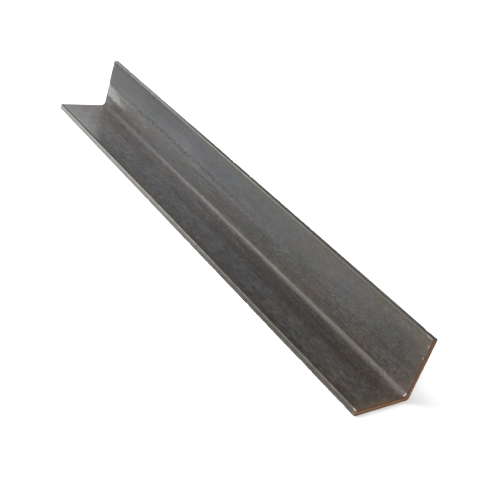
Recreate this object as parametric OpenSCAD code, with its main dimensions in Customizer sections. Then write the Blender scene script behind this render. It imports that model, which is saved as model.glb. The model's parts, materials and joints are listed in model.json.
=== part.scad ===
// Hot-rolled steel angle bar with equal legs, cut square at both ends.
// The bar runs along X. One leg lies flat with its toe towards -Y, and the other
// stands up at +Y. The origin is under the middle of the bar, on the underside.

/* [Bar] */
// Length of the bar between its two cut ends
bar_l = 300; // [60:10:1000]

/* [Section] */
// Width of the flat leg, from the back of the heel to the toe
flat_leg_w = 35; // [20:1:80]
// Height of the upright leg, from the underside of the heel to the toe
upright_leg_h = 35; // [20:1:80]
// Thickness of both legs
leg_t = 3; // [2:0.5:8]

/* [Rolled edges] */
// Radius of the hollow fillet in the root, between the inner faces
root_r = 2.5; // [1:0.5:8]
// Radius of the heel, the outer corner of the section
heel_r = 1.5; // [0.5:0.1:3]
// Radius of each toe where it meets the inner face
toe_r = 1; // [0.3:0.1:2.5]
// Radius of each toe where it meets the outer face, left nearly sharp by the rolls
tip_r = 0.3; // [0.2:0.1:1]

/* [Hidden] */
$fn = 64;
// A toe has room for its inner arc only in what the outer arc leaves of the leg
toe_arc_r = min(toe_r, leg_t - tip_r);
// How far a corner piece reaches past its corner, so that it joins or cuts cleanly
corner_lap = leg_t / 4;
steel_colour = [0.38, 0.38, 0.39];

// Area between a square corner at the origin and the arc that rounds it
module corner(r) {
    difference() {
        translate([-corner_lap, -corner_lap])
            square(r + corner_lap);
        translate([r, r])
            circle(r);
    }
}

// The two square-edged legs, with the heel at the origin
module legs() {
    square([flat_leg_w, leg_t]);
    square([leg_t, upright_leg_h]);
}

// Both edges of the toe at the end of the flat leg
module flat_toe_cuts() {
    translate([flat_leg_w, leg_t])
        rotate(180)
            corner(toe_arc_r);
    translate([flat_leg_w, 0])
        rotate(90)
            corner(tip_r);
}

// Both edges of the toe at the top of the upright leg
module upright_toe_cuts() {
    translate([leg_t, upright_leg_h])
        rotate(180)
            corner(toe_arc_r);
    translate([0, upright_leg_h])
        rotate(-90)
            corner(tip_r);
}

// Rolled section: legs, root fillet, rounded heel and toes
module angle_section() {
    difference() {
        union() {
            legs();
            translate([leg_t, leg_t])
                corner(root_r);
        }
        corner(heel_r);
        flat_toe_cuts();
        upright_toe_cuts();
    }
}

// The whole bar, one piece of stock
module angle_bar() {
    color(steel_colour)
        translate([0, flat_leg_w / 2, 0])
            rotate([90, 0, -90])
                linear_extrude(bar_l, center = true)
                    angle_section();
}

angle_bar();
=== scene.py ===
"""Steel angle bar: the rolled bar with its mill scale, rust and wear, and a plain studio round it."""
import json
import random
from math import pi, radians

import bmesh
import bpy
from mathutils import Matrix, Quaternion, Vector, noise


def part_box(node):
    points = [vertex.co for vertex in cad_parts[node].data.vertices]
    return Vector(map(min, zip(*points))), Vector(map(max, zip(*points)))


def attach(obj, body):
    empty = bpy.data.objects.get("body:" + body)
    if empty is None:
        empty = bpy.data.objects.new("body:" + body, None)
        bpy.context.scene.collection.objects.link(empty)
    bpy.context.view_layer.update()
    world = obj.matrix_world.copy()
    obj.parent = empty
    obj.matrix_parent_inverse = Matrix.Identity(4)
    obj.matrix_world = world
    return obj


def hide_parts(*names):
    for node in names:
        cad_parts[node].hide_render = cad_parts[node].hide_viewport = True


bl_info = {
    "name": "Steel Angle Bar",
    "version": (1, 0, 0),
    "blender": (4, 5, 0),
    "location": "3D View > Sidebar > Angle Bar",
    "description": "Builds a hot-rolled steel angle bar with mill scale, rust and wear, and its studio",
    "category": "Object",
}

MM = 0.001
BODY = "root"
CAD_NODE = "angle_bar"

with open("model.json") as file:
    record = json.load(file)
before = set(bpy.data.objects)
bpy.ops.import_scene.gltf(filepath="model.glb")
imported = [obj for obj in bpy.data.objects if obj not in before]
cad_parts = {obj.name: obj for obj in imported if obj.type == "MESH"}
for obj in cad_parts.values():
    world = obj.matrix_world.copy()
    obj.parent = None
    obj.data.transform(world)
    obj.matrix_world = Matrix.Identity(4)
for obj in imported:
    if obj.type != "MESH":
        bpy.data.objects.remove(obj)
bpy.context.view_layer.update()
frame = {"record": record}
low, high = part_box(CAD_NODE)
mount_place = {mount["name"]: mount["pos_m"] for mount in frame["record"]["mounts"]}


class BarSizes(bpy.types.PropertyGroup):
    length: bpy.props.FloatProperty(
        name="Length", description="From cut end to cut end", default=high.x - low.x, unit="LENGTH")
    flat_leg: bpy.props.FloatProperty(
        name="Flat Leg", description="Width of the flat leg", default=high.y - low.y, unit="LENGTH")
    upright_leg: bpy.props.FloatProperty(
        name="Upright Leg", description="Height of the upright leg", default=high.z - low.z, unit="LENGTH")
    thickness: bpy.props.FloatProperty(
        name="Thickness", description="Thickness of both legs",
        default=mount_place["flat_leg_seat"][2], unit="LENGTH")
    root_radius: bpy.props.FloatProperty(
        name="Root Radius", description="Hollow fillet between the inner faces", default=2.5 * MM, unit="LENGTH")
    heel_radius: bpy.props.FloatProperty(
        name="Heel Radius", description="Rounding of the outer corner", default=1.5 * MM, unit="LENGTH")
    toe_radius: bpy.props.FloatProperty(
        name="Toe Radius", description="Rounding of a toe at the inner face", default=1.0 * MM, unit="LENGTH")
    tip_radius: bpy.props.FloatProperty(
        name="Tip Radius", description="Rounding of a toe at the outer face", default=0.3 * MM, unit="LENGTH")
    cut_edge: bpy.props.FloatProperty(
        name="Cut Edge", description="How far the edges of the saw cuts are broken", default=0.18 * MM,
        unit="LENGTH")
    ring_step: bpy.props.FloatProperty(
        name="Ring Step", description="Distance between rings of the mesh along the bar", default=0.75 * MM,
        unit="LENGTH")
    face_steps: bpy.props.IntProperty(
        name="Face Steps", description="Strips of the mesh across each wide face", default=22)
    left_tip_radius: bpy.props.FloatProperty(
        name="Left Tip Radius", description="Rounding where a toe meets the left cut", default=1.0 * MM,
        unit="LENGTH")
    right_tip_radius: bpy.props.FloatProperty(
        name="Right Tip Radius", description="Rounding where a toe meets the right cut", default=0.7 * MM,
        unit="LENGTH")
    wave_depth: bpy.props.FloatProperty(
        name="Wave Depth", description="Depth of the shallow waves the rolls leave", default=0.08 * MM,
        unit="LENGTH")


class BarFinish(bpy.types.PropertyGroup):
    grey_scale: bpy.props.FloatVectorProperty(
        name="Grey Scale", description="Smooth grey mill scale", subtype="COLOR", default=(0.042, 0.0405, 0.0388))
    blue_scale: bpy.props.FloatVectorProperty(
        name="Blue Scale", description="Bluish mill scale towards the left end", subtype="COLOR",
        default=(0.037, 0.0392, 0.0420))
    brown_scale: bpy.props.FloatVectorProperty(
        name="Brown Scale", description="Mill scale with a thin rust bloom, towards the root", subtype="COLOR",
        default=(0.041, 0.0345, 0.0290))
    # Dark scale in streaks and pits, also laid as painted shade along the toes
    black_scale_and_shade: bpy.props.FloatVectorProperty(
        name="Black Scale And Shade", description="Thick dark scale in streaks and pits", subtype="COLOR",
        default=(0.008, 0.007, 0.006))
    # Pale scuffed scale, also laid as painted light: a band on the upright leg, the root highlight and reflections
    # on the toes
    worn_scale_and_sheen: bpy.props.FloatVectorProperty(
        name="Worn Scale And Sheen", description="Scale scuffed pale grey", subtype="COLOR", default=(0.15, 0.147, 0.140))
    # Warm grey of rubbed edges, also laid as a painted highlight along the toes
    worn_edge_and_highlight: bpy.props.FloatVectorProperty(
        name="Worn Edge And Highlight", description="Warm grey of an edge that is rubbed through", subtype="COLOR",
        default=(0.19, 0.178, 0.156))
    # Bright steel of knocked edges, laid as painted glints at the right end
    bare_steel_and_glint: bpy.props.FloatVectorProperty(
        name="Bare Steel And Glint", description="Steel where an edge is knocked bright", subtype="COLOR",
        default=(0.24, 0.21, 0.185))
    # Painted shade: matt dark coat on the outer half of the upright toe
    painted_toe_shade: bpy.props.FloatVectorProperty(
        name="Painted Toe Shade", description="Matt dark scale on the outer half of a toe", subtype="COLOR",
        default=(0.044, 0.0420, 0.0395))
    bloom: bpy.props.FloatVectorProperty(
        name="Rust Bloom", description="Thin rust that creeps from the cut over the scale", subtype="COLOR",
        default=(0.125, 0.075, 0.038))
    rust: bpy.props.FloatVectorProperty(
        name="Rust", description="Rust of the cut ends", subtype="COLOR", default=(0.135, 0.064, 0.028))
    scale_roughness: bpy.props.FloatProperty(
        name="Scale Roughness", description="Roughness of the mill scale", default=0.30, subtype="FACTOR")
    grain_depth: bpy.props.FloatProperty(
        name="Grain Depth", description="Depth of the fine grain of the scale", default=0.020 * MM,
        unit="LENGTH")


class StudioSettings(bpy.types.PropertyGroup):
    camera_at: bpy.props.FloatVectorProperty(
        name="Camera Place", description="Where the camera stands", subtype="XYZ", unit="LENGTH",
        default=(307.22 * MM, -266.01 * MM, 214.14 * MM))
    camera_aim: bpy.props.FloatVectorProperty(
        name="Camera Aim", description="Point on the floor in the middle of the picture", subtype="XYZ",
        unit="LENGTH", default=(16.13 * MM, 22.29 * MM, 0.0))
    camera_roll: bpy.props.FloatProperty(
        name="Camera Roll", description="How far the camera leans over to its left", subtype="ANGLE",
        default=radians(18.76))
    lens: bpy.props.FloatProperty(
        name="Lens", description="Focal length in millimetres on a 36 mm wide sensor", default=59.802)
    floor_colour: bpy.props.FloatVectorProperty(
        name="Floor", description="Colour of the plain floor", subtype="COLOR", default=(0.9, 0.9, 0.9))
    floor_radius: bpy.props.FloatProperty(
        name="Floor Radius", description="Where the floor has faded out, still in the light of the windows",
        default=0.5, unit="LENGTH")
    front_right_light: bpy.props.FloatProperty(
        name="Front Right Light", description="Brightness of the low window at the front right", default=12.4)
    front_left_light: bpy.props.FloatProperty(
        name="Front Left Light", description="Brightness of the low window at the front left", default=7.0)
    close_left_light: bpy.props.FloatProperty(
        name="Close Left Light", description="Brightness of the soft light close in at the front left",
        default=5.0)
    high_left_light: bpy.props.FloatProperty(
        name="High Left Light", description="Brightness of the soft light high at the front left", default=4.7)
    left_light: bpy.props.FloatProperty(
        name="Left Light", description="Brightness of the soft light near the left end", default=1.7)
    back_left_light: bpy.props.FloatProperty(
        name="Back Left Light", description="Brightness of the low window behind the left end", default=3.2)
    room_light: bpy.props.FloatProperty(
        name="Room Light", description="Brightness of the room all round", default=0.05)


class ShaderValue:
    """A socket that takes part in Python expressions: each operator adds the Math node it needs."""

    def __init__(self, bench, socket):
        self.bench = bench
        self.socket = socket

    def math(self, operation, *others):
        return self.bench.add("ShaderNodeMath", {"operation": operation}, dict(enumerate((self, *others))))

    def __add__(self, other):
        return self.math("ADD", other)

    __radd__ = __add__

    def __sub__(self, other):
        return self.math("SUBTRACT", other)

    def __rsub__(self, other):
        return self.bench.add("ShaderNodeMath", {"operation": "SUBTRACT"}, {0: other, 1: self})

    def __mul__(self, other):
        return self.math("MULTIPLY", other)

    __rmul__ = __mul__


class ShaderBench:
    """Adds nodes to one material's tree."""

    def __init__(self, tree):
        self.tree = tree

    def add(self, kind, settings=None, sockets=None, out=0):
        """A new node: its settings go in first, then the values or links of its sockets."""
        node = self.tree.nodes.new(kind)
        for name, value in (settings or {}).items():
            setattr(node, name, value)
        for name, value in (sockets or {}).items():
            if isinstance(value, ShaderValue):
                self.tree.links.new(value.socket, node.inputs[name])
            else:
                node.inputs[name].default_value = value
        return ShaderValue(self, node.outputs[out]) if node.outputs else None

    def step(self, value, start, end):
        """0 before start, 1 after end, smooth between them; start may be the larger."""
        return self.add(
            "ShaderNodeMapRange", {"interpolation_type": "SMOOTHSTEP"},
            {"Value": value, "From Min": start, "From Max": end})

    def band(self, value, centre, half_width, soft):
        """1 within half_width of the centre, fading to 0 over soft."""
        return self.step((value - centre).math("ABSOLUTE"), half_width + soft, half_width)

    def spot(self, place, centre, reach):
        """1 at a point, fading to 0 at a reach (along, across, up) from it."""
        offset = self.add(
            "ShaderNodeVectorMath", {"operation": "SUBTRACT"}, {0: place, 1: centre})
        scaled = self.add("ShaderNodeVectorMath", {"operation": "DIVIDE"}, {0: offset, 1: reach})
        distance = self.add("ShaderNodeVectorMath", {"operation": "LENGTH"}, {0: scaled}, out=1)
        return self.step(distance, 1.0, 0.5)

    def noise(self, place, size, detail=2.0, roughness=0.5, seed=0.0, out=0):
        """Noise whose patches measure size (along, across, up) in the units of place."""
        scaled = self.add(
            "ShaderNodeVectorMath", {"operation": "MULTIPLY_ADD"},
            {0: place, 1: tuple(1 / s for s in size), 2: (seed, seed, seed)})
        return self.add(
            "ShaderNodeTexNoise", {"noise_dimensions": "3D"},
            {"Vector": scaled, "Scale": 1.0, "Detail": detail, "Roughness": roughness}, out)

    def mix(self, factor, first, second):
        """first where the factor is 0 and second where it is 1, as colours."""
        return self.add("ShaderNodeMix", {"data_type": "RGBA"}, {0: factor, 6: first, 7: second}, out=2)

    def tint(self, colour, factor):
        """The colour made brighter or darker by a factor."""
        return self.add("ShaderNodeVectorMath", {"operation": "SCALE"}, {0: colour, "Scale": factor})


def rgba(colour):
    return (*colour, 1.0)


class BarPlaces:
    """Where a point of the surface lies on the bar, in millimetres."""

    def __init__(self, bench, sizes):
        self.half_length = sizes.length / 2 / MM
        self.heel = sizes.flat_leg / 2 / MM
        self.height = sizes.upright_leg / MM
        self.thick = sizes.thickness / MM
        place = bench.add("ShaderNodeTexCoord", out=3)
        self.place = bench.add("ShaderNodeVectorMath", {"operation": "SCALE"}, {0: place, "Scale": 1 / MM})
        self.along, self.across, self.up = (
            bench.add("ShaderNodeSeparateXYZ", sockets={0: self.place}, out=axis) for axis in range(3))
        # Way round the inside: over 0 up the upright leg, under 0 out along the flat leg
        self.girth = self.up + self.across - self.heel
        self.from_root = self.girth.math("ABSOLUTE")
        self.from_right = self.half_length - self.along
        self.from_left = self.half_length + self.along
        self.from_cut = self.from_right.math("MINIMUM", self.from_left)
        self.depth = (self.heel - self.across).math("MINIMUM", self.up)
        self.inside = bench.step(self.depth, 1.0, 2.0)
        self.on_upright = bench.step(self.girth, 0.5, 2.0)
        self.on_flat = bench.step(self.girth, -0.5, -2.0)
        self.to_toe = (self.heel + self.across).math("MINIMUM", self.height - self.up)
        self.on_toe = bench.step(self.to_toe, 1.15, 0.85)
        # Way round a toe, from its outer edge to the inner face
        self.round_toe = self.depth + self.to_toe
        self.near_right = bench.step(self.from_right, 75.0, 8.0)
        self.leftward = bench.step(self.from_right, 60.0, 200.0)
        self.near_left = bench.step(self.from_left, 110.0, 10.0)


class Skin:
    """The finish of the bar, laid on coat by coat."""

    def __init__(self, bench, colour, roughness):
        self.bench = bench
        self.colour = colour
        self.roughness = roughness

    def paint(self, where, colour, roughness):
        """A coat of another colour and roughness where the mask says."""
        self.colour = self.bench.mix(where, self.colour, rgba(colour))
        self.roughness = self.roughness + where * (roughness - self.roughness)


def mill_scale(bench, bar, finish):
    """The scale itself: smooth and blue-grey out on the legs, brown, grainy and streaked towards the root."""
    grain = bench.step(bench.noise(bar.place, (1.15, 0.68, 0.68), 2.0, 0.7), 0.36, 0.64)
    mottle = bench.noise(bar.place, (3.6, 2.0, 2.0), 3.0, 0.6, 3.0)
    clouds = bench.noise(bar.place, (60.0, 13.0, 13.0), 3.0, 0.5, 5.0)
    streaks = bench.noise(bar.place, (22.0, 0.8, 0.8), 3.0, 0.6, 11.0)
    wander = bench.noise(bar.place, (16.0, 300.0, 300.0), 3.0, 0.6, 21.0) - 0.5

    colour = bench.mix(bar.leftward, rgba(finish.grey_scale), rgba(finish.blue_scale))
    rootward = bench.step(bar.from_root + wander * 5.0, 17.5, 11.5)
    toe_stain = bench.step(bar.girth, -26.0, -29.5) * (1.0 - bar.near_left * 0.6)
    far_end = bench.step(bar.from_left, 75.0, 15.0)
    brown = (
        rootward * (0.7 - bar.on_upright * bar.near_right * 0.3 - bar.leftward * (0.2 + bar.on_upright * 0.15))
        + bar.near_right * (0.3 + bar.on_flat * 0.4) + toe_stain * 0.85
        + bench.step(bar.girth, -29.0, -31.5) * bench.step(bar.from_left, 130.0, 180.0) * 0.35
        + bench.step(bar.girth, 25.0, 30.0) * bench.step(bar.from_left, 25.0, 60.0) * 0.5
        + bench.band(bar.girth, -21.0, 5.0, 3.0) * bench.band(bar.from_right, 210.0, 35.0, 25.0) * 0.12
        - bench.band(bar.girth, 12.5, 4.0, 3.0) * bench.step(bar.from_right, 150.0, 90.0) * 0.45
        - bench.band(bar.girth, -3.5, 1.5, 2.0) * bench.band(bar.from_right, 60.0, 40.0, 20.0) * 0.35
        - bench.band(bar.girth, -22.0, 3.5, 3.0) * bench.band(bar.from_right, 70.0, 45.0, 25.0) * 0.2
        + far_end * (bar.on_flat * 0.3 + bench.step(bar.girth, 9.0, 7.0) * bar.on_upright * 0.5)
        + (clouds - 0.5) * 1.0 + (mottle - 0.5) * 1.2)
    colour = bench.mix(brown.math("MAXIMUM", 0.0), colour, rgba(finish.brown_scale))
    # Heat tints: faint shifts of hue where the bar cooled unevenly
    heat = bench.noise(bar.place, (11.0, 6.0, 6.0), 4.0, 0.68, 81.0, out=1)
    tints = bench.add(
        "ShaderNodeVectorMath", {"operation": "MULTIPLY_ADD"},
        {0: heat, 1: (0.40, 0.30, 0.44), 2: (0.80, 0.85, 0.78)})
    colour = bench.add("ShaderNodeVectorMath", {"operation": "MULTIPLY"}, {0: colour, 1: tints})
    # The hue leans to purple on the flat leg, most in a streak beside the root, and to olive along the toes
    purple = (
        bench.band(bar.girth, -19.0, 5.0, 4.0) * bench.step(bar.from_right, 60.0, 120.0) * (
            0.2 + bar.leftward * 0.15)
        + bench.band(bar.girth, -9.0, 2.5, 2.5) * (
            bench.band(bar.from_right, 112.0, 38.0, 20.0) + bench.band(bar.from_right, 235.0, 12.0, 12.0)) * 0.6)
    olive = bench.step(bar.girth, -28.5, -31.0) + (
        bench.step(bar.girth, 25.0, 29.0) * bench.step(bar.from_left, 60.0, 110.0) * 0.6)
    lean = bench.mix(0.39 + purple * 0.6 - olive * 0.39, (0.99, 1.03, 0.98, 1.0), (1.02, 0.945, 1.01, 1.0))
    colour = bench.add("ShaderNodeVectorMath", {"operation": "MULTIPLY"}, {0: colour, 1: lean})
    # Leg A is smooth away from the root and the right end
    sleek = bench.step(bar.girth, 16.0, 19.0) * bench.step(bar.from_right, 15.0, 60.0)
    outward = bench.step(bar.girth, -12.0, -17.0)
    rough_part = 1.0 - sleek * 0.3
    coarse = 0.40 + rootward * 0.35 + bar.on_flat * (0.08 + rootward * 0.37) + bar.near_right * bar.on_flat * 0.1 - (
        outward * bench.band(bar.from_right, 160.0, 25.0, 35.0) * 0.2)
    stain = (
        bench.band(bar.girth, -29.8, 1.0, 2.2) * bench.step(bar.from_left, 25.0, 60.0)
        * (1.0 - bar.near_right * 0.7))
    # Lighter by powers of two, so that dark and light places weigh the same
    stops = (
        (grain - 0.5) * 1.05 * coarse + (mottle - 0.5) * (
            1.4 * rough_part + outward * 2.1 + bar.near_right * bar.on_upright * 0.6)
        + (clouds - 0.5) * 0.5 - stain * 0.5
        - outward * bench.band(bar.from_right, 75.0, 35.0, 60.0) * 0.22
        - bench.band(bar.girth, -11.5, 1.5, 2.5) * bench.band(bar.from_right, 100.0, 70.0, 40.0) * 0.35
        - bench.band(bar.girth, 18.5, 6.0, 4.0) * bench.step(bar.from_right, 45.0, 15.0) * 0.40
        - bench.band(bar.girth, -25.5, 2.5, 2.0) * bench.band(bar.from_right, 150.0, 65.0, 30.0) * 0.2
        + bench.band(bar.girth, 16.0, 2.0, 2.0) * bench.band(bar.from_right, 150.0, 35.0, 30.0) * 0.3
        + bench.band(bar.girth, 20.0, 2.5, 2.5) * bench.band(bar.from_left, 72.0, 25.0, 25.0) * 0.45
        + bench.band(bar.girth, -17.0, 4.0, 3.0) * bench.band(bar.from_left, 50.0, 12.0, 15.0) * 0.25
        + bar.leftward * bench.band(bar.girth, -18.0, 3.5, 4.0) * 0.25
        + bar.near_right * bar.on_flat * 0.2 + bar.leftward * bar.on_flat * rootward * 0.58
        + bar.leftward * bench.band(bar.girth, 15.0, 2.0, 2.0) * 0.12
        # Painted shade: the top of the upright leg darker near the left end, where the light by that end falls most
        - bench.step(bar.from_left, 110.0, 20.0) * bench.step(bar.girth, 17.0, 20.0) * 0.75)
    shade = bench.add("ShaderNodeMath", {"operation": "POWER"}, {0: 2.0, 1: stops})
    colour = bench.tint(colour, shade)
    in_root = bench.step(bar.from_root, 3.0, 1.7)
    root_fade = bench.step(bar.from_left, 130.0, 15.0)
    roughness = (
        finish.scale_roughness + (grain - 0.5) * 0.07 * rough_part
        + in_root * (0.16 + bar.near_right * 0.02 + root_fade * 0.27)
        + far_end * bar.on_flat * (0.04 + bench.step(bar.girth, -31.0, -12.0) * 0.22))
    skin = Skin(bench, colour, roughness)

    # Thin streaks where the rolls pinched the root, the longest and darkest on the flat leg
    root_streaks = bench.step(streaks + grain * 0.14, 0.59, 0.75) * bench.step(bar.from_root, 17.0, 12.0)
    skin.paint(root_streaks * 0.6, finish.black_scale_and_shade, 0.55)
    drawn = bench.noise(bar.place, (60.0, 0.9, 0.9), 2.0, 0.6, 71.0)
    drawn_places = (
        bench.band(bar.girth, -8.0, 3.0, 2.5) * bench.band(bar.from_right, 72.0, 40.0, 50.0)
        + bench.band(bar.girth, 4.3, 1.0, 1.2) * bench.step(bar.from_right, 170.0, 90.0) * 0.7)
    skin.paint(
        bench.step(drawn + (grain - 0.5) * 0.08, 0.50, 0.64) * drawn_places * 0.6, finish.black_scale_and_shade, 0.55)
    return skin, grain * coarse * 0.08 + streaks * 0.8, mottle, wander


def scuffs_and_sheen(bench, bar, finish, skin):
    """Scale scuffed pale inside the left end of the upright leg with a painted sheen, widest at the cut and dying
    out along the bar; a band of painted light along the upright leg; a painted highlight along the root at the right
    end.
    """
    ragged = bench.noise(bar.place, (2.2, 1.1, 1.1), 3.0, 0.75, 41.0) - 0.5
    streaky = bench.noise(bar.place, (11.0, 1.4, 1.4), 2.0, 0.6, 43.0) - 0.5
    # Scuffed scale with a painted sheen, widest at the cut
    scuff_and_sheen = (
        bench.step(bar.girth + bar.from_left * 0.03 + ragged * 4.0, 7.6, 9.1)
        * bench.step(bar.girth + bar.from_left * 0.33 + ragged * 9.0 + streaky * 7.0, 19.0, 15.5)
        * bench.step(bar.from_left + ragged * 36.0 + streaky * 30.0, 40.0, 12.0))
    flecks = (
        bench.step(ragged + streaky, 0.06, 0.24) * bench.band(bar.girth, 12.0, 2.5, 2.5)
        * bench.step(bar.from_left, 80.0, 25.0))
    # Painted light: a pale band along the upright leg over the left part of the bar, weaker at the left cut
    painted_light_band = bench.band(bar.girth, 11.5, 3.0, 9.0) * bench.step(bar.from_left, 190.0, 30.0)
    fading = 1.0 - bench.step(bar.from_left, 40.0, 5.0) * 0.9
    # Pale coat: the scuffs with their painted sheen, the flecks and the painted light band
    pale = scuff_and_sheen * (0.66 + streaky * 1.2 + ragged * 1.7) + flecks * (1.0 - scuff_and_sheen) * 0.4 + painted_light_band * fading * 0.16
    skin.paint(
        pale.math("MINIMUM", 1.0).math("MAXIMUM", 0.0) * bar.inside, finish.worn_scale_and_sheen, 0.38)
    # Painted highlight: the root fillet made paler near the right end, where its highlight broadens
    painted_root_highlight = bench.band(bar.girth, -1.2, 1.2, 2.0) * bench.step(bar.from_right, 20.0, 3.0) * bar.inside
    skin.paint(painted_root_highlight * 0.1, finish.worn_scale_and_sheen, 0.4)


def speck_lines(bench, bar, finish, skin, wander):
    """Fine dark specks in a wavering line where the blue scale begins, and along the toe at the left end."""
    fine = bench.noise(bar.place, (1.6, 0.8, 0.8), 3.0, 0.7, 31.0)
    specks = bench.step(fine, 0.44, 0.56)
    line = bench.band(bar.girth - 16.4 + wander * 5.0, 0.0, 0.7, 1.6) * bar.on_upright * bar.leftward
    below = bench.band(bar.girth - 14.4 + wander * 5.0, 0.0, 0.7, 1.6) * bar.on_upright * bar.leftward
    fainter = bench.band(bar.girth + 13.5 + wander * 5.0, 0.0, 0.5, 1.4) * bar.leftward
    by_toe = (
        bench.band(bar.to_toe, 1.6, 0.6, 1.8) * bench.step(bar.from_left, 120.0, 50.0) * bar.on_upright)
    skin.paint(
        (line * 0.72 + fainter * (1.0 - bar.near_left) * 0.3 + by_toe * 0.6) * specks * bar.inside,
        finish.black_scale_and_shade, 0.6)
    skin.paint(below * bench.step(fine, 0.46, 0.32) * bar.inside * 0.25, finish.worn_scale_and_sheen, 0.4)


def rolled_steel(sizes, finish):
    """Mill scale that runs along the bar, rusty at the cuts and rubbed pale or bright at the edges, with painted
    reflections, highlights and shade along the toes and painted glints at the right end.
    """
    material = bpy.data.materials.new("rolled_steel")
    material.use_nodes = True
    tree = material.node_tree
    tree.nodes.clear()
    bench = ShaderBench(tree)
    bar = BarPlaces(bench, sizes)
    skin, height, mottle, wander = mill_scale(bench, bar, finish)

    scuffs_and_sheen(bench, bar, finish, skin)
    speck_lines(bench, bar, finish, skin, wander)

    # Toe edges: pale towards the left end as painted reflection, with broken lines rubbed bright along them that
    # also carry a painted highlight, and dark lines of painted shade
    flecks = bench.step(bench.noise(bar.place, (4.0, 0.8, 0.8), 3.0, 0.7, 51.0), 0.40, 0.60)
    upright_toe_reflection = bench.step(bar.from_left, 95.0, 35.0) * bar.on_upright
    flat_toe_reflection = bench.step(bar.from_left, 235.0, 60.0) * bar.on_flat
    turned_in = bench.step(bar.round_toe, 2.6, 3.6)
    skin.paint(
        bar.on_toe * (upright_toe_reflection * 0.22 + flat_toe_reflection * (0.43 - turned_in * 0.24)), finish.worn_scale_and_sheen, 0.4)
    skin.paint(bar.on_toe * bar.on_flat * (1.0 - flat_toe_reflection) * 0.04, finish.worn_edge_and_highlight, 0.5)
    # Painted shade on the outer part of the flat toe, away from the left end
    painted_flat_toe_shade = bench.step(bar.depth, 2.95, 2.45) * (1.0 - flat_toe_reflection) * bar.on_flat
    skin.paint(bar.on_toe * painted_flat_toe_shade * 0.55, finish.black_scale_and_shade, 0.6)
    # A bright line along each toe: a rubbed edge with a painted highlight
    ridge = bench.band(bar.round_toe - bar.on_flat, 2.65, 0.3, 0.45) * bar.on_toe
    ridge_wear_and_highlight = (
        bar.on_upright * (
            bench.step(bar.from_right, 70.0, 150.0) * 0.36 - bench.step(bar.from_left, 60.0, 30.0) * 0.24)
        + bar.on_flat * (0.2 + bar.leftward * 0.9) * bench.step(bar.from_left, 60.0, 165.0))
    skin.paint(ridge * (0.35 + flecks * 0.65) * ridge_wear_and_highlight, finish.worn_edge_and_highlight, 0.42)
    outer_ridge = bench.band(bar.depth, 0.9, 0.1, 0.25) * bar.on_toe * bar.on_flat
    skin.paint(outer_ridge * flecks * 0.22, finish.worn_edge_and_highlight, 0.4)
    on_inside = bench.step(bar.depth, 2.4, 2.7)
    # Painted shade: dark lines along the inner edge of each toe
    inner_painted_shade = bench.band(
        bar.round_toe - bar.on_flat * (0.6 - bar.near_left * 0.4), 3.8, 0.3, 0.4) * on_inside
    inner_shade_strength = bar.on_flat * (0.4 + flat_toe_reflection * 0.6) + bar.on_upright * (
        0.45 + upright_toe_reflection * (0.4 - flecks * 0.7))
    skin.paint(inner_painted_shade * inner_shade_strength, finish.black_scale_and_shade, 0.65)
    # Painted highlight: a pale line along the flat toe at the left end
    painted_highlight_line = bench.band(bar.to_toe, 2.1, 0.3, 0.7) * bar.on_flat * on_inside
    skin.paint(painted_highlight_line * bench.step(bar.from_left, 48.0, 24.0) * 0.25, finish.worn_scale_and_sheen, 0.4)
    # Painted shade: a matt dark coat on the outer half of the upright toe
    painted_toe_shade = bench.step(bar.depth, 2.35, 1.75) * bar.on_toe * bar.on_upright * (
        0.97 - bench.step(bar.from_left, 120.0, 55.0) * 0.65 - bar.near_right * 0.4)

    # Rust on the cut faces, creeping a little way on to the legs
    saw_marks = bench.noise(bar.place, (0.6, 0.35, 0.9), 3.0, 0.7, 61.0)
    on_cut = bench.step(bar.from_right, 0.28, 0.10) + bench.step(bar.from_left, 0.16, 0.09)
    creep = (
        bench.step(bar.from_right + mottle * 3.5, 4.2, 1.2) * (
            0.03 + bench.step(bar.girth, -7.0, -12.0) * 0.42 + bench.band(bar.girth, -13.5, 3.0, 3.0) * 0.15)
        + bench.step(bar.from_right + mottle * 24.0, 24.0, 10.0) * 0.08)
    skin.paint(creep, finish.bloom, 0.5)
    skin.paint(bench.step(bar.from_right + mottle, 1.8, 0.8) * bar.on_upright * 0.15, finish.rust, 0.6)
    skin.paint(on_cut, finish.rust, 0.7)
    # Painted shade: the cut on the upright leg is made darker; mid_cut lightens the middle of the cut's thickness
    # and darkens its rims
    mid_cut = (
        bench.band(bar.depth, 1.4, 0.3, 1.1) * (0.45 + bar.on_upright * 0.1) - bench.step(bar.depth, 1.0, 0.2) * 0.28
        - bench.step(bar.depth, 2.2, 2.9) * bar.on_flat * 0.15)
    skin.colour = bench.tint(
        skin.colour,
        1.0 + on_cut * (mid_cut - 0.5 - bar.on_upright * 0.22 + (saw_marks - 0.5) * 0.8))

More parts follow.
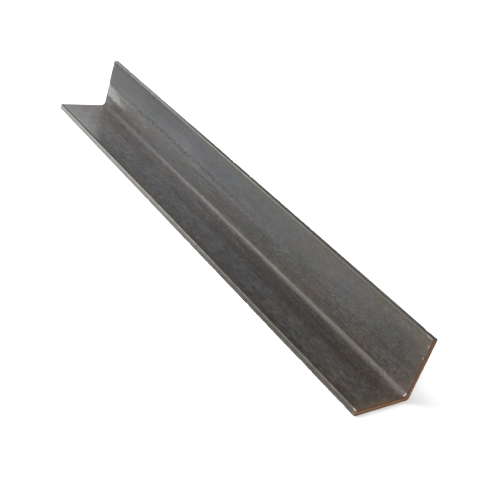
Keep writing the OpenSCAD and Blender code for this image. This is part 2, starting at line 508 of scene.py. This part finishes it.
    # Painted glints where the edges at the right end are knocked bright, as (from the cut, across, up), half lengths
    # and strength
    inner = bar.heel - bar.thick
    for (from_cut, across, up), reach, strength in (
            ((2.7, inner + 0.3, bar.height - 0.3), (2.1, 0.4, 0.4), 0.4),
            ((1.5, 0.6 - bar.heel, bar.thick - 0.2), (1.4, 0.45, 0.45), 0.85),
            ((0.45, inner - 0.8, bar.thick + 0.8), (0.5, 1.5, 1.5), 0.8),
            ((0.8, inner, bar.height - 4.2), (0.5, 0.4, 1.0), 0.4),
            ((0.8, inner, bar.height - 10.5), (0.45, 0.4, 0.5), 0.6)):
        glint_on_knock = bench.spot(bar.place, (bar.half_length - from_cut, across, up), reach)
        skin.paint(glint_on_knock * strength, finish.bare_steel_and_glint, 0.45)
    notch = bench.spot(bar.place, (0.3 - bar.half_length, inner, 17.7), (1.6, 0.8, 1.1))
    skin.paint(notch, finish.black_scale_and_shade, 0.7)
    rub = bench.spot(bar.place, (1.0 - bar.half_length, inner, bar.height - 3.4), (1.3, 0.8, 1.5))
    skin.paint(rub * 0.7, finish.worn_scale_and_sheen, 0.4)
    tip = bench.spot(bar.place, (0.4 - bar.half_length, inner + 0.8, bar.height - 0.7), (2.4, 2.2, 1.7))
    skin.paint(tip * 0.6, finish.worn_scale_and_sheen, 0.4)

    bump = bench.add(
        "ShaderNodeBump", sockets={"Strength": 1.0, "Distance": finish.grain_depth, "Height": height})
    steel = bench.add(
        "ShaderNodeBsdfPrincipled",
        sockets={
            "Base Color": skin.colour, "Roughness": skin.roughness, "Metallic": 0.05, "Normal": bump,
            "Specular IOR Level": 0.25})
    # The painted toe shade, as a matt diffuse coat
    matt = bench.add("ShaderNodeBsdfDiffuse", sockets={"Color": rgba(finish.painted_toe_shade)})
    shader = bench.add(
        "ShaderNodeMixShader", sockets={0: painted_toe_shade * (1.0 - on_cut), 1: steel, 2: matt})
    bench.add("ShaderNodeOutputMaterial", sockets={"Surface": shader})
    return material


def section_corners(sizes):
    """The six corners of the L with square edges, as (across, up, radius, arc steps)."""
    heel = sizes.flat_leg / 2
    inner = heel - sizes.thickness
    return (
        (heel, 0.0, sizes.heel_radius, 6),
        (-heel, 0.0, sizes.tip_radius, 3),
        (-heel, sizes.thickness, sizes.toe_radius, 5),
        (inner, sizes.thickness, sizes.root_radius, 8),
        (inner, sizes.upright_leg, sizes.toe_radius, 5),
        (heel, sizes.upright_leg, sizes.tip_radius, 3),
    )


def rounded_section(bm, sizes):
    """The section as one face at the right-hand end, its corners rounded as the rolls leave them."""
    corners = section_corners(sizes)
    verts = [bm.verts.new((sizes.length / 2, across, up)) for across, up, _, _ in corners]
    bm.faces.new(verts)
    for vert, (_, _, radius, steps) in zip(verts, corners):
        bmesh.ops.bevel(
            bm, geom=[vert], offset=radius, offset_type="OFFSET", segments=steps, profile=0.5,
            affect="VERTICES", material=-1)
    wide = [e for e in bm.edges if e.calc_length() > sizes.upright_leg / 2]
    bmesh.ops.subdivide_edges(bm, edges=wide, cuts=sizes.face_steps - 1)
    return bm.faces[:]


def build_bar(sizes):
    """The bar: the section drawn out along X, its cut edges broken, cut into rings and worn."""
    bm = bmesh.new()
    faces = rounded_section(bm, sizes)
    drawn = bmesh.ops.extrude_face_region(bm, geom=faces)["geom"]
    left = [g for g in drawn if isinstance(g, bmesh.types.BMVert)]
    bmesh.ops.translate(bm, verts=left, vec=(-sizes.length, 0, 0))
    bmesh.ops.recalc_face_normals(bm, faces=bm.faces)
    rims = [e for e in bm.edges if abs(e.verts[0].co.x - e.verts[1].co.x) < 1e-6]
    bmesh.ops.bevel(
        bm, geom=rims, offset=sizes.cut_edge, offset_type="OFFSET", segments=2, profile=0.5,
        affect="EDGES", material=-1)
    end_part = 2.0 * MM
    for side in (-1, 1):
        bmesh.ops.bisect_plane(
            bm, geom=bm.verts[:] + bm.edges[:] + bm.faces[:], dist=1e-7,
            plane_co=(side * (sizes.length / 2 - end_part), 0, 0), plane_no=(1, 0, 0))
    lengths = {e: abs(e.verts[0].co.x - e.verts[1].co.x) for e in bm.edges}
    middle = [e for e, reach in lengths.items() if reach > sizes.length / 2]
    ends = [e for e, reach in lengths.items() if end_part / 2 < reach < 2 * end_part]
    bmesh.ops.subdivide_edges(bm, edges=middle, cuts=round(sizes.length / sizes.ring_step) - 1)
    bmesh.ops.subdivide_edges(bm, edges=ends, cuts=7)
    round_tips(bm, sizes)
    wear(bm, sizes)
    return bm


def round_tips(bm, sizes):
    """Rounds the four corners where a toe meets a cut, more at the left end."""
    for vert in bm.verts:
        co = vert.co
        radius = sizes.left_tip_radius if co.x < 0 else sizes.right_tip_radius
        past_x = radius - (sizes.length / 2 - abs(co.x))
        for axis, past_toe in ((2, co.z - sizes.upright_leg + radius), (1, -sizes.flat_leg / 2 - co.y + radius)):
            reach = (past_x ** 2 + past_toe ** 2) ** 0.5
            if past_x > 0 and past_toe > 0 and reach > radius:
                excess = 1 - radius / reach
                co.x -= past_x * excess * (1 if co.x > 0 else -1)
                co[axis] -= past_toe * excess * (1 if axis == 2 else -1)


def knocks(sizes):
    """Small knocks in the toe edges and one in the left cut, as (centre, half lengths, depth)."""
    chance = random.Random(11)
    heel = sizes.flat_leg / 2
    inner = heel - sizes.thickness
    spots = [
        (Vector((x * sizes.length, across, up)), Vector((chance.uniform(0.7, 2.2), 0.7, 0.7)) * MM,
         chance.uniform(0.05, 0.22) * MM)
        for across, up in (
            (heel, sizes.upright_leg), (inner, sizes.upright_leg), (-heel, sizes.thickness), (-heel, 0.0))
        for x in (chance.uniform(-0.48, 0.48) for _ in range(16))]
    spots.append((
        Vector((-sizes.length / 2, inner, sizes.upright_leg / 2)), Vector((1.2, 0.8, 1.2)) * MM, 0.5 * MM))
    return spots


def wear(bm, sizes):
    """Moves the surface inwards, never outwards: long shallow waves from the rolls, a fine ripple, knocks."""
    bm.normal_update()
    spots = knocks(sizes)
    moves = []
    for vert in bm.verts:
        place = vert.co / MM
        wave = noise.noise(Vector((place.x / 55, place.y / 12, place.z / 12)))
        ripple = noise.noise(Vector((place.x / 11, place.y / 3, place.z / 3)) + Vector((40, 0, 0)))
        sink = max(0.0, wave) * sizes.wave_depth + max(0.0, ripple) * sizes.wave_depth * 0.25
        for centre, reach, depth in spots:
            if abs(vert.co.x - centre.x) < reach.x:
                away = sum(((vert.co[i] - centre[i]) / reach[i]) ** 2 for i in range(3))
                sink += depth * max(0.0, 1 - away)
        moves.append((vert, vert.normal * sink))
    for vert, move in moves:
        vert.co -= move


class ANGLEBAR_OT_bar(bpy.types.Operator):
    """Build the rolled bar in place of its plain solid"""
    bl_idname = "angle_bar.bar"
    bl_label = "Rolled Bar"

    def execute(self, context):
        sizes = context.scene.angle_bar_sizes
        bm = build_bar(sizes)
        mesh = bpy.data.meshes.new("rolled_bar")
        bm.to_mesh(mesh)
        bm.free()
        for polygon in mesh.polygons:
            polygon.use_smooth = abs(polygon.normal.x) < 0.9
        bar = bpy.data.objects.new("rolled_bar", mesh)
        context.scene.collection.objects.link(bar)
        mesh.materials.append(rolled_steel(sizes, context.scene.angle_bar_finish))
        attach(bar, BODY)
        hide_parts(CAD_NODE)
        return {"FINISHED"}


def softbox(name, towards, distance, size, brightness):
    """A square soft light: brightness is what its face shows, so it looks the same at any size or distance."""
    lamp = bpy.data.lights.new(name, "AREA")
    lamp.shape = "SQUARE"
    lamp.size = size
    lamp.energy = brightness * pi * size * size
    holder = bpy.data.objects.new(name, lamp)
    direction = Vector(towards).normalized()
    holder.location = direction * distance
    holder.rotation_mode = "QUATERNION"
    holder.rotation_quaternion = (-direction).to_track_quat("-Z", "Y")
    holder.visible_camera = False
    bpy.context.scene.collection.objects.link(holder)


class ANGLEBAR_OT_studio(bpy.types.Operator):
    """Lay the pale floor and set up the soft lights and the camera"""
    bl_idname = "angle_bar.studio"
    bl_label = "Studio"

    def execute(self, context):
        studio = context.scene.angle_bar_studio
        bm = bmesh.new()
        bmesh.ops.create_circle(bm, cap_ends=True, segments=96, radius=studio.floor_radius)
        mesh = bpy.data.meshes.new("floor")
        bm.to_mesh(mesh)
        bm.free()
        floor = bpy.data.objects.new("floor", mesh)
        context.scene.collection.objects.link(floor)
        paper = bpy.data.materials.new("floor_paper")
        paper.use_nodes = True
        shader = paper.node_tree.nodes["Principled BSDF"]
        shader.inputs["Base Color"].default_value = rgba(studio.floor_colour)
        shader.inputs["Roughness"].default_value = 0.9
        bench = ShaderBench(paper.node_tree)
        place = bench.add("ShaderNodeTexCoord", out=3)
        distance = bench.add("ShaderNodeVectorMath", {"operation": "LENGTH"}, {0: place}, out=1)
        faded = bench.step(distance, studio.floor_radius, studio.floor_radius / 2)
        paper.node_tree.links.new(faded.socket, shader.inputs["Alpha"])
        mesh.materials.append(paper)

        softbox("front_right", (0.66, -0.66, 0.375), 1.3, 0.8, studio.front_right_light)
        softbox("front_left", (-0.66, -0.66, 0.375), 1.3, 0.8, studio.front_left_light)
        softbox("close_left", (-0.545, -0.75, 0.375), 0.65, 0.5, studio.close_left_light)
        softbox("high_left", (-0.265, -0.265, 0.93), 1.3, 0.8, studio.high_left_light)
        softbox("left", (-0.93, 0.0, 0.375), 0.65, 0.5, studio.left_light)
        softbox("back_left", (-0.66, 0.66, 0.375), 1.3, 0.8, studio.back_left_light)
        world = bpy.data.worlds.new("studio")
        context.scene.world = world
        world.use_nodes = True
        # The room looks white, a little over so that no noise shows in it, but lights the bar only faintly
        seen = ShaderBench(world.node_tree).add("ShaderNodeLightPath")
        strength = (seen * (1.05 - studio.room_light) + studio.room_light).socket
        background = world.node_tree.nodes["Background"]
        background.inputs["Color"].default_value = (1, 1, 1, 1)
        world.node_tree.links.new(strength, background.inputs["Strength"])

        lens = bpy.data.cameras.new("camera")
        lens.lens = studio.lens
        lens.sensor_width = 36.0
        camera = bpy.data.objects.new("camera", lens)
        look = Vector(studio.camera_aim) - Vector(studio.camera_at)
        camera.location = studio.camera_at
        camera.rotation_mode = "QUATERNION"
        camera.rotation_quaternion = look.to_track_quat("-Z", "Y") @ Quaternion((0, 0, 1), studio.camera_roll)
        lens.clip_start = 0.01
        context.scene.collection.objects.link(camera)
        context.scene.camera = camera
        context.scene.view_settings.view_transform = "Standard"
        return {"FINISHED"}


class ANGLEBAR_PT_panel(bpy.types.Panel):
    """The bar's sizes and finish, the studio, and what builds them"""
    bl_idname = "ANGLEBAR_PT_panel"
    bl_label = "Angle Bar"
    bl_space_type = "VIEW_3D"
    bl_region_type = "UI"
    bl_category = "Angle Bar"

    def draw(self, context):
        scene = context.scene
        for group, operator in (
            (scene.angle_bar_sizes, ANGLEBAR_OT_bar),
            (scene.angle_bar_finish, ANGLEBAR_OT_bar),
            (scene.angle_bar_studio, ANGLEBAR_OT_studio),
        ):
            box = self.layout.box()
            for name in group.__annotations__:
                box.prop(group, name)
            box.operator(operator.bl_idname)


CLASSES = (
    BarSizes, BarFinish, StudioSettings, ANGLEBAR_OT_bar, ANGLEBAR_OT_studio, ANGLEBAR_PT_panel)


def register():
    for cls in CLASSES:
        bpy.utils.register_class(cls)
    bpy.types.Scene.angle_bar_sizes = bpy.props.PointerProperty(type=BarSizes)
    bpy.types.Scene.angle_bar_finish = bpy.props.PointerProperty(type=BarFinish)
    bpy.types.Scene.angle_bar_studio = bpy.props.PointerProperty(type=StudioSettings)


def unregister():
    del bpy.types.Scene.angle_bar_studio
    del bpy.types.Scene.angle_bar_finish
    del bpy.types.Scene.angle_bar_sizes
    for cls in reversed(CLASSES):
        bpy.utils.unregister_class(cls)


def main():
    register()
    bpy.ops.angle_bar.studio()
    bpy.ops.angle_bar.bar()


if __name__ == "__main__":
    main()
